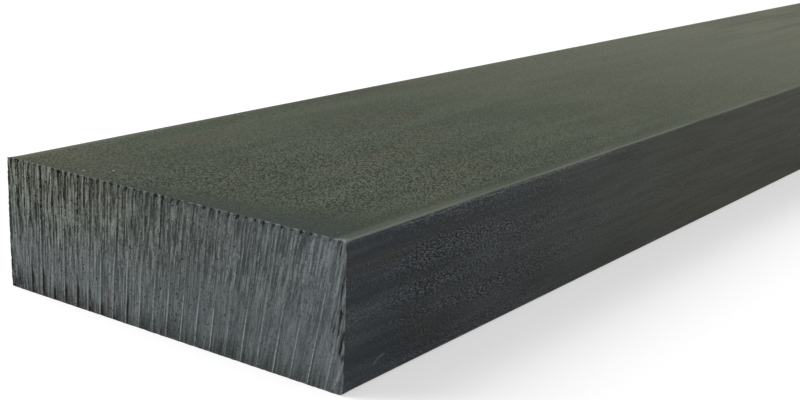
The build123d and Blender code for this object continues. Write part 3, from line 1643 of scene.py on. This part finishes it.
    def lined(self, bench: NodeBench, spot: CutSpot) -> tuple[Socket, Socket]:
        """Draws the lines that the blade's weld rubs, painted as highlights, and the painted shadow beside each.

        Args:
            bench: The bench to wire on.
            spot: The point of the sawn end.

        Returns:
            The strengths of the bright lines and of the painted shadows beside them, 0 to 1.
        """
        count = bench.trait(Trait.FEED)
        rub = bench.trait(Trait.RUB)
        beyond = bench.times(bench.sum("SUBTRACT", count, bench.sum("ROUND", count)), self.feed)
        line = bench.times(
            bench.falling(bench.sum("ABSOLUTE", beyond), self.line_width * 0.4, self.line_width * 1.6),
            rub,
            bench.grade(self.along(bench, spot, self.line_breaks), 0.36, 0.56, 0.4, 1.0),
        )
        # Painted shadow: a dark band a little beside each line, as if the line were a lit ridge
        off_shadow = bench.sum("ABSOLUTE", bench.sum("SUBTRACT", beyond, self.lee_off))
        return line, bench.times(bench.falling(off_shadow, 0.06, 0.2), rub, self.shadow_share)

    def tinted(self, bench: NodeBench, spot: CutSpot, speckle: Socket) -> Socket:
        """Tints the bare steel with oil, rust, dirt and painted shade, and mottles it.

        Args:
            bench: The bench to wire on.
            spot: The point of the sawn end.
            speckle: The speckle along the strokes.

        Returns:
            The steel's colour.
        """
        rusty = bench.times(
            bench.grade(bench.noise(spot.place, self.stains), 0.42, 0.66),
            bench.falling(spot.up, 4.0, 11.0),
            bench.falling(spot.stroke, 26.0, 46.0),
            self.rust_share,
        )
        colour = bench.blend(bench.trait(Trait.OIL), self.bare, self.oiled)
        colour = bench.blend(rusty, colour, self.brown)
        mottle = bench.grade(spot.harsh, 0.3, 0.7, 0.15, 0.2)
        least, most = bench.sum("SUBTRACT", 1.0, mottle), bench.sum("ADD", 1.0, mottle)
        shade = bench.times(
            bench.sum("SUBTRACT", 1.0, bench.trait(Trait.DIRT)),
            bench.grade(speckle, 0.34, 0.66, least, most),
            bench.grade(bench.noise(spot.place, self.grit), 0.34, 0.66, 0.89, 1.11),
        )
        return bench.scaled(colour, shade)

    def material(self) -> bpy.types.Material:
        """Makes the finish.

        Returns:
            The material for the saw-cut ends.
        """
        bench = NodeBench("sawn_steel")
        spot = self.spot(bench)
        high = bench.times(bench.grade(spot.up, 8.0, 14.0), bench.falling(spot.stroke, 52.0, 76.0, 0.75))
        streaks, bright = self.streaked(bench, spot, high)
        dark = bench.sum("MAXIMUM", self.scored(bench, spot, high), streaks)
        dark = bench.sum("MAXIMUM", dark, self.pitted(bench, spot))
        line, line_shadow = self.lined(bench, spot)
        speckle = self.along(bench, spot, self.speckle)

        # Painted glints: the bright streaks, in the light colour
        colour = bench.blend(bright, self.tinted(bench, spot, speckle), self.light)
        # Painted shade and grime: bites, tears and pockets darkened as hollows, with the dark scores and the
        # lines' painted shadows, in the score colour
        groove = bench.grade(bench.trait(Trait.GROOVE), 0.05, 0.9)
        groove = bench.sum("MAXIMUM", groove, bench.sum("MAXIMUM", dark, line_shadow))
        colour = bench.blend(groove, colour, self.score)
        colour = bench.blend(bench.trait(Trait.LIP), colour, self.pale)
        # Painted highlight along the top edge of the cut, partly a rubbed burr
        rim = bench.grade(spot.up, self.thickness - 0.24, self.thickness - 0.1)
        rim = bench.times(rim, bench.grade(self.along(bench, spot, self.rim_breaks), 0.4, 0.6, 0.0, 0.5))
        colour = bench.blend(bench.sum("MAXIMUM", line, rim), colour, self.rubbed_and_highlight)

        polish = bench.grade(speckle, 0.3, 0.7, self.roughness - 0.06, self.roughness + 0.08)
        height = bench.sum("SUBTRACT", bench.sum("ADD", bright, line), dark)
        return bench.finished(colour, polish, bench.bump(height, self.relief), self.specular, self.metallic)


@dataclass
class SawnFlatBar:
    """The bar: two sawn ends and the rolled skin between them, as one closed mesh.

    Sizes are in millimetres.
    """

    length: float
    section: RolledSection
    near_marks: SawMarks
    far_marks: SawMarks

    near_grid: SectionGrid = SectionGrid(5, 462, 88)
    far_grid: SectionGrid = SectionGrid(4, 300, 56)
    lead_grid: SectionGrid = SectionGrid(3, 150, 40)
    skin_grid: SectionGrid = SectionGrid(3, 50, 15)

    # How far from each cut the finer rings of the skin lie
    near_cut_rings: tuple[float, ...] = (0.12, 0.3, 0.6, 1.0)
    far_cut_rings: tuple[float, ...] = (0.2, 0.6, 1.2)
    lead_rings: tuple[float, ...] = (1.7, 2.8, 4.2)
    skin_start: float = 6.5
    near_pitch: float = 2.2
    far_pitch: float = 4.4
    pitch_growth: float = 1.02

    # How deep the skin's waves are, the slow and the quick ones, and how far from a cut they are full
    waviness: float = 0.035
    slow_wave: Grain = Grain(61, 16.0, 45.0)
    quick_wave: Grain = Grain(62, 5.0, 14.0)
    wave_start: float = 3.0

    # How far along the skin the cuts' nicks and burrs reach
    nick_reach: float = 0.35
    burr_reach: float = 0.9

    # The bake map holds the near end, then the far end, then the skin, each in a band of its own.
    map_edge: float = 0.005
    near_band: tuple[float, float] = (0.005, 0.31)
    far_band: tuple[float, float] = (0.32, 0.53)
    skin_band: tuple[float, float] = (0.54, 0.995)

    points: list[Field] = field(default_factory=list)
    traits: dict[Trait, list[Field]] = field(default_factory=lambda: {trait: [] for trait in Trait})
    faces: list[Field] = field(default_factory=list)
    maps: list[Field] = field(default_factory=list)
    cut_faces: list[Field] = field(default_factory=list)
    count: int = 0

    def add_points(self, place: Field, traits: dict[Trait, Field]) -> Field:
        """Adds vertices.

        Args:
            place: X, Y and Z of each, one row each.
            traits: What is known of them; the rest is 0.

        Returns:
            Their numbers in the mesh.
        """
        self.points.append(place)
        for trait in Trait:
            self.traits[trait].append(np.broadcast_to(traits.get(trait, 0.0), len(place)))
        numbers = np.arange(self.count, self.count + len(place))
        self.count += len(place)
        return numbers

    def add_faces(self, corners: Field, places: Field, is_cut: bool) -> None:
        """Adds faces, with each corner's place on the bake map.

        Args:
            corners: The vertex numbers of each face's corners.
            places: The corners' places on the bake map.
            is_cut: Whether the faces lie on a saw cut.
        """
        self.faces.append(corners)
        self.maps.append(places)
        self.cut_faces.append(np.full(len(corners), is_cut))

    def cell_corners(self, grid: Field, end: BarEnd) -> list[Field]:
        """Picks the four corners of every cell of a grid, in the order that faces outward."""
        corners = [grid[:-1, :-1], grid[:-1, 1:], grid[1:, 1:], grid[1:, :-1]]
        return corners if end is BarEnd.FAR else corners[::-1]

    def cut_face(self, end: BarEnd, marks: SawMarks, grid: SectionGrid, band: tuple[float, float]) -> Field:
        """Builds one sawn end as a grid of relief.

        Args:
            end: Which end it is.
            marks: Its blade marks.
            grid: How finely it is divided.
            band: Its lowest and highest place on the bake map.

        Returns:
            The vertex numbers of its outline, in the loop's order.
        """
        flat_y, flat_z = np.meshgrid(*grid.lines(self.section))
        burr = marks.burr(self.section.width / 2 - flat_y, flat_z)
        y, z = self.section.place(flat_y, flat_z, burr)
        across = self.section.width / 2 - y
        draw, lift = marks.pull(across, z)
        x = end.value * (self.length / 2 - marks.depth(across, z))
        place = np.stack([x, y - draw, z + lift], -1).reshape(-1, 3)
        traits = {trait: values.ravel() for trait, values in marks.traits(across, z).items()}
        numbers = self.add_points(place, traits).reshape(flat_y.shape)

        low, high = band
        scale = (high - low) / self.section.thickness
        spot = np.stack([self.map_edge + (flat_y + self.section.width / 2) * scale, low + flat_z * scale], -1)
        corners = np.stack(self.cell_corners(numbers, end), -1).reshape(-1, 4)
        spots = np.stack(self.cell_corners(spot, end), -2).reshape(-1, 4, 2)
        self.add_faces(corners, spots, True)
        outline = [numbers[0, :-1], numbers[:-1, -1], numbers[-1, :0:-1], numbers[:0:-1, 0]]
        return np.concatenate(outline)

    def outline(self, grid: SectionGrid, square: float, marks: SawMarks) -> Field:
        """The skin's outline on one grid.

        Args:
            grid: How finely it is divided.
            square: How much of the cut's burrs reaches it, 0 to 1.
            marks: The blade marks of the nearer cut.

        Returns:
            Y and Z of its points.
        """
        flat_y, flat_z = grid.loop(self.section)
        burr = marks.burr(self.section.width / 2 - flat_y, flat_z) * square
        return np.stack(self.section.place(flat_y, flat_z, burr), -1)

    def way_round(self, grid: SectionGrid) -> Field:
        """The share of the way round at each point of a loop, and 1 where it closes.

        Args:
            grid: How finely the loop is divided.

        Returns:
            The shares, 0 to 1.
        """
        loop = self.outline(grid, 0.0, self.near_marks)
        gone = np.linalg.norm(np.diff(np.vstack([loop, loop[:1]]), axis=0), axis=1)
        return np.concatenate([[0.0], np.cumsum(gone)]) / gone.sum()

    def ring(self, x: float, grid: SectionGrid, marks: SawMarks) -> Field:
        """Adds one ring of the skin.

        Args:
            x: Where it lies along the bar.
            grid: How finely it is divided.
            marks: The nearer cut's blade marks, whose chips reach a little way along the skin.

        Returns:
            Its vertex numbers.
        """
        to_cut = self.length / 2 - abs(x)
        loop = self.outline(grid, math.exp(-to_cut / self.burr_reach), marks)
        step = np.roll(loop, -1, 0) - np.roll(loop, 1, 0)
        outward = np.stack([step[:, 1], -step[:, 0]], -1) / np.linalg.norm(step, axis=1, keepdims=True)
        around = self.way_round(grid)[:-1] * 2 * (self.section.width + self.section.thickness)
        along = np.full_like(around, x + self.length)
        wave = 0.6 * self.slow_wave.at(around, along) + 0.4 * self.quick_wave.at(around, along)
        sink = self.waviness * (0.5 + 0.5 * wave) * ease(np.float64(to_cut), 0.0, self.wave_start)
        y, z = (loop - outward * sink[:, None]).T
        draw, lift = marks.pull(self.section.width / 2 - loop[:, 0], loop[:, 1])
        reach = math.exp(-to_cut / self.nick_reach)
        return self.add_points(np.stack([np.full_like(y, x), y - draw * reach, z + lift * reach], -1), {})

    def join(
        self,
        rings: tuple[Field, Field],
        grids: tuple[SectionGrid, SectionGrid],
        ends: tuple[float, float],
    ) -> None:
        """Fills the skin between two rings, with quads where they match and triangles where not.

        Args:
            rings: The vertex numbers of both, the one nearer the near end first.
            grids: How finely each is divided.
            ends: Where each lies along the bar.
        """
        low, high = self.skin_band
        spots, loops = [], []
        for numbers, grid, x in zip(rings, grids, ends):
            around = low + self.way_round(grid) * (high - low)
            along = self.map_edge + (1 - 2 * self.map_edge) * (x / self.length + 0.5)
            spots.append(np.stack([np.full_like(around, along), around], -1))
            loops.append(np.append(numbers, numbers[0]))
        (near, far), (near_spot, far_spot) = loops, spots
        if len(near) == len(far):
            corners = np.stack([near[:-1], near[1:], far[1:], far[:-1]], -1)
            places = np.stack([near_spot[:-1], near_spot[1:], far_spot[1:], far_spot[:-1]], -2)
            self.add_faces(corners, places, False)
            return
        corners, places = [], []
        i, j = 0, 0
        while i < len(near) - 1 or j < len(far) - 1:
            is_near = j == len(far) - 1 or (i < len(near) - 1 and near_spot[i + 1, 1] <= far_spot[j + 1, 1])
            tip, tip_spot = (near[i + 1], near_spot[i + 1]) if is_near else (far[j + 1], far_spot[j + 1])
            corners.append((near[i], tip, far[j]))
            places.append((near_spot[i], tip_spot, far_spot[j]))
            i, j = (i + 1, j) if is_near else (i, j + 1)
        self.add_faces(np.array(corners), np.array(places), False)

    def skin_places(self) -> list[float]:
        """How far from the near end the plain rings of the skin lie.

        Returns:
            The distances, in millimetres.
        """
        places, pitch = [self.skin_start], self.near_pitch
        while places[-1] + pitch < self.length - self.skin_start:
            places.append(places[-1] + pitch)
            pitch = min(self.far_pitch, pitch * self.pitch_growth)
        return places

    def build(self) -> bpy.types.Object:
        """Builds the whole mesh.

        Returns:
            The bar as a Blender object, with no material yet.
        """
        near_outline = self.cut_face(BarEnd.NEAR, self.near_marks, self.near_grid, self.near_band)
        far_outline = self.cut_face(BarEnd.FAR, self.far_marks, self.far_grid, self.far_band)
        plan = [(gap, self.near_grid) for gap in self.near_cut_rings]
        plan += [(gap, self.lead_grid) for gap in self.lead_rings]
        plan += [(gap, self.skin_grid) for gap in self.skin_places()]
        plan += [(self.length - gap, self.lead_grid) for gap in self.lead_rings[::-1]]
        plan += [(self.length - gap, self.far_grid) for gap in self.far_cut_rings[::-1]]

        last, last_grid, last_x = near_outline, self.near_grid, -self.length / 2
        for gap, grid in plan:
            x = gap - self.length / 2
            ring = self.ring(x, grid, self.near_marks if x < 0 else self.far_marks)
            self.join((last, ring), (last_grid, grid), (last_x, x))
            last, last_grid, last_x = ring, grid, x
        self.join((last, far_outline), (last_grid, self.far_grid), (last_x, self.length / 2))
        return self.to_object(near_outline, far_outline)

    def to_object(self, *outlines: Field) -> bpy.types.Object:
        """Turns the gathered points and faces into a mesh object.

        Args:
            outlines: The loops of vertices where the skin meets the cuts, which stay sharp.

        Returns:
            The object.
        """
        mesh = bpy.data.meshes.new(PIECE)
        faces = [corners for block in self.faces for corners in block.tolist()]
        mesh.from_pydata((np.concatenate(self.points) * MM).tolist(), [], faces)
        for trait in Trait:
            values = np.concatenate(self.traits[trait]).astype(np.float32)
            mesh.attributes.new(trait.value, "FLOAT", "POINT").data.foreach_set("value", values)
        spots = np.concatenate([block.ravel() for block in self.maps]).astype(np.float32)
        mesh.uv_layers.new(name=BAKE_MAP).uv.foreach_set("vector", spots)
        mesh.polygons.foreach_set("material_index", np.concatenate(self.cut_faces).astype(np.int32))
        mesh.polygons.foreach_set("use_smooth", np.ones(len(mesh.polygons), bool))
        on_outline = np.zeros(self.count, bool)
        on_outline[np.concatenate(outlines)] = True
        ends = np.zeros(len(mesh.edges) * 2, np.int32)
        mesh.edges.foreach_get("vertices", ends)
        sharp = on_outline[ends.reshape(-1, 2)].all(1)
        mesh.attributes.new("sharp_edge", "BOOLEAN", "EDGE").data.foreach_set("value", sharp)
        mesh.update()
        bar = bpy.data.objects.new(PIECE, mesh)
        bpy.context.scene.collection.objects.link(bar)
        return bar

    def dress(self, bar: bpy.types.Object) -> None:
        """Gives the skin and the cuts their finishes."""
        bar.data.materials.append(MillScale(self.length, self.section).material())
        bar.data.materials.append(SawnSteel(self.section.thickness).material())

    def fit(self, bar: bpy.types.Object) -> None:
        """Puts the bar in the place of its CAD node.

        Args:
            bar: The bar.
        """
        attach(bar, BODY)
        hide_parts(NODE)


@dataclass
class Studio:
    """A pale floor, a soft lamp and the camera. Sizes are in metres."""

    floor_size: float = 12.0
    floor_white: float = 0.6
    floor_lift: float = 0.54
    world_light: float = 0.45
    key_watts: float = 36.0
    key_from: Triple = (-0.75, 1.3, 1.65)
    key_size: float = 1.5

    # The camera stands off the near end's top right corner by these shares of the bar's width.
    stand_off: Triple = (-1.821, -1.414, 0.695)
    forward: Triple = (0.7872, 0.561, -0.2562)
    upward: Triple = (0.1874, 0.1783, 0.966)
    focal: float = 58.05
    sensor: float = 36.0
    clip: tuple[float, float] = (0.01, 100.0)

    def seen_share(self, tree: bpy.types.NodeTree) -> Socket:
        """1 for rays that show the background, by sight, in a reflection or through glass.

        Args:
            tree: The node tree to wire in.

        Returns:
            The share.
        """
        rays = tree.nodes.new("ShaderNodeLightPath")
        total = rays.outputs["Is Camera Ray"]
        for name in ("Is Glossy Ray", "Is Transmission Ray"):
            either = tree.nodes.new("ShaderNodeMath")
            either.operation = "MAXIMUM"
            tree.links.new(total, either.inputs[0])
            tree.links.new(rays.outputs[name], either.inputs[1])
            total = either.outputs[0]
        return total

    def lay_floor(self) -> bpy.types.Object:
        """Lays a plain white floor that keeps the bar's shadow.

        Returns:
            The floor.
        """
        half = self.floor_size / 2
        mesh = bpy.data.meshes.new("floor")
        corners = [(-half, -half, 0), (half, -half, 0), (half, half, 0), (-half, half, 0)]
        mesh.from_pydata(corners, [], [(0, 1, 2, 3)])
        floor = bpy.data.objects.new("floor", mesh)
        bpy.context.scene.collection.objects.link(floor)
        bench = NodeBench("pale_floor")
        matt = bench.add("ShaderNodeBsdfDiffuse")
        matt.inputs["Color"].default_value = (*[self.floor_white] * 3, 1.0)
        glow = bench.add("ShaderNodeEmission")
        bench.feed(glow.inputs["Strength"], bench.times(self.seen_share(bench.tree), self.floor_lift))
        both = bench.add("ShaderNodeAddShader")
        bench.feed(both.inputs[0], matt.outputs[0])
        bench.feed(both.inputs[1], glow.outputs[0])
        bench.feed(bench.output.inputs["Surface"], both.outputs[0])
        mesh.materials.append(bench.material)
        return floor

    def light_world(self) -> None:
        """Fills the room with even light, and shows it white."""
        world = bpy.data.worlds.new("studio")
        world.use_nodes = True
        tree = world.node_tree
        tree.nodes.clear()
        shown = tree.nodes.new("ShaderNodeMapRange")
        tree.links.new(self.seen_share(tree), shown.inputs["Value"])
        shown.inputs["To Min"].default_value = self.world_light
        shown.inputs["To Max"].default_value = 1.0
        glow = tree.nodes.new("ShaderNodeBackground")
        tree.links.new(shown.outputs["Result"], glow.inputs["Strength"])
        output = tree.nodes.new("ShaderNodeOutputWorld")
        tree.links.new(glow.outputs[0], output.inputs["Surface"])
        bpy.context.scene.world = world

    def hang_lamp(self) -> bpy.types.Object:
        """Hangs a square soft lamp that faces the bar.

        Returns:
            The lamp.
        """
        lamp = bpy.data.lights.new("key_lamp", "AREA")
        lamp.size, lamp.energy = self.key_size, self.key_watts
        hung = bpy.data.objects.new("key_lamp", lamp)
        hung.location = self.key_from
        hung.rotation_mode = "QUATERNION"
        hung.rotation_quaternion = Vector(self.key_from).to_track_quat("Z", "Y")
        bpy.context.scene.collection.objects.link(hung)
        return hung

    def set_camera(self, corner: Vector, width: float) -> bpy.types.Object:
        """Sets the camera at the photograph's viewing angle.

        Args:
            corner: The near end's top right corner, as the camera sees it.
            width: The bar's width.

        Returns:
            The camera.
        """
        camera = bpy.data.cameras.new("camera")
        camera.lens, camera.sensor_width = self.focal, self.sensor
        camera.clip_start, camera.clip_end = self.clip
        forward = Vector(self.forward).normalized()
        right = forward.cross(Vector(self.upward)).normalized()
        up = right.cross(forward)
        stand = bpy.data.objects.new("camera", camera)
        turn = Matrix((right, up, -forward)).transposed().to_4x4()
        stand.matrix_world = Matrix.Translation(corner + Vector(self.stand_off) * width) @ turn
        bpy.context.scene.collection.objects.link(stand)
        bpy.context.scene.camera = stand
        return stand

    def build(self, low: Vector, high: Vector) -> None:
        """Builds the studio around the bar's box.

        Args:
            low: The box's lowest corner.
            high: Its highest corner.
        """
        self.set_camera(Vector((low.x, low.y, high.z)), high.y - low.y)
        self.light_world()
        self.lay_floor()
        self.hang_lamp()
        bpy.context.scene.view_settings.view_transform = "Standard"


def main() -> None:
    """Builds the studio and the bar, in order."""
    logging.basicConfig(level=logging.INFO, format="%(name)s: %(message)s")
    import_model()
    low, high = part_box(NODE)
    Studio().build(low, high)
    log.info("studio ready")

    length, width, thickness = (side / MM for side in high - low)
    maker = SawnFlatBar(
        length=length,
        section=RolledSection(width, thickness),
        near_marks=SawMarks(3, width, thickness),
        far_marks=SawMarks(5, width, thickness),
    )
    bar = maker.build()
    maker.dress(bar)
    maker.fit(bar)
    triangles = sum(len(face.vertices) - 2 for face in bar.data.polygons)
    log.info("%s: %.1f x %.1f x %.1f mm, %d triangles", bar.name, length, width, thickness, triangles)


if __name__ == "__main__":
    main()
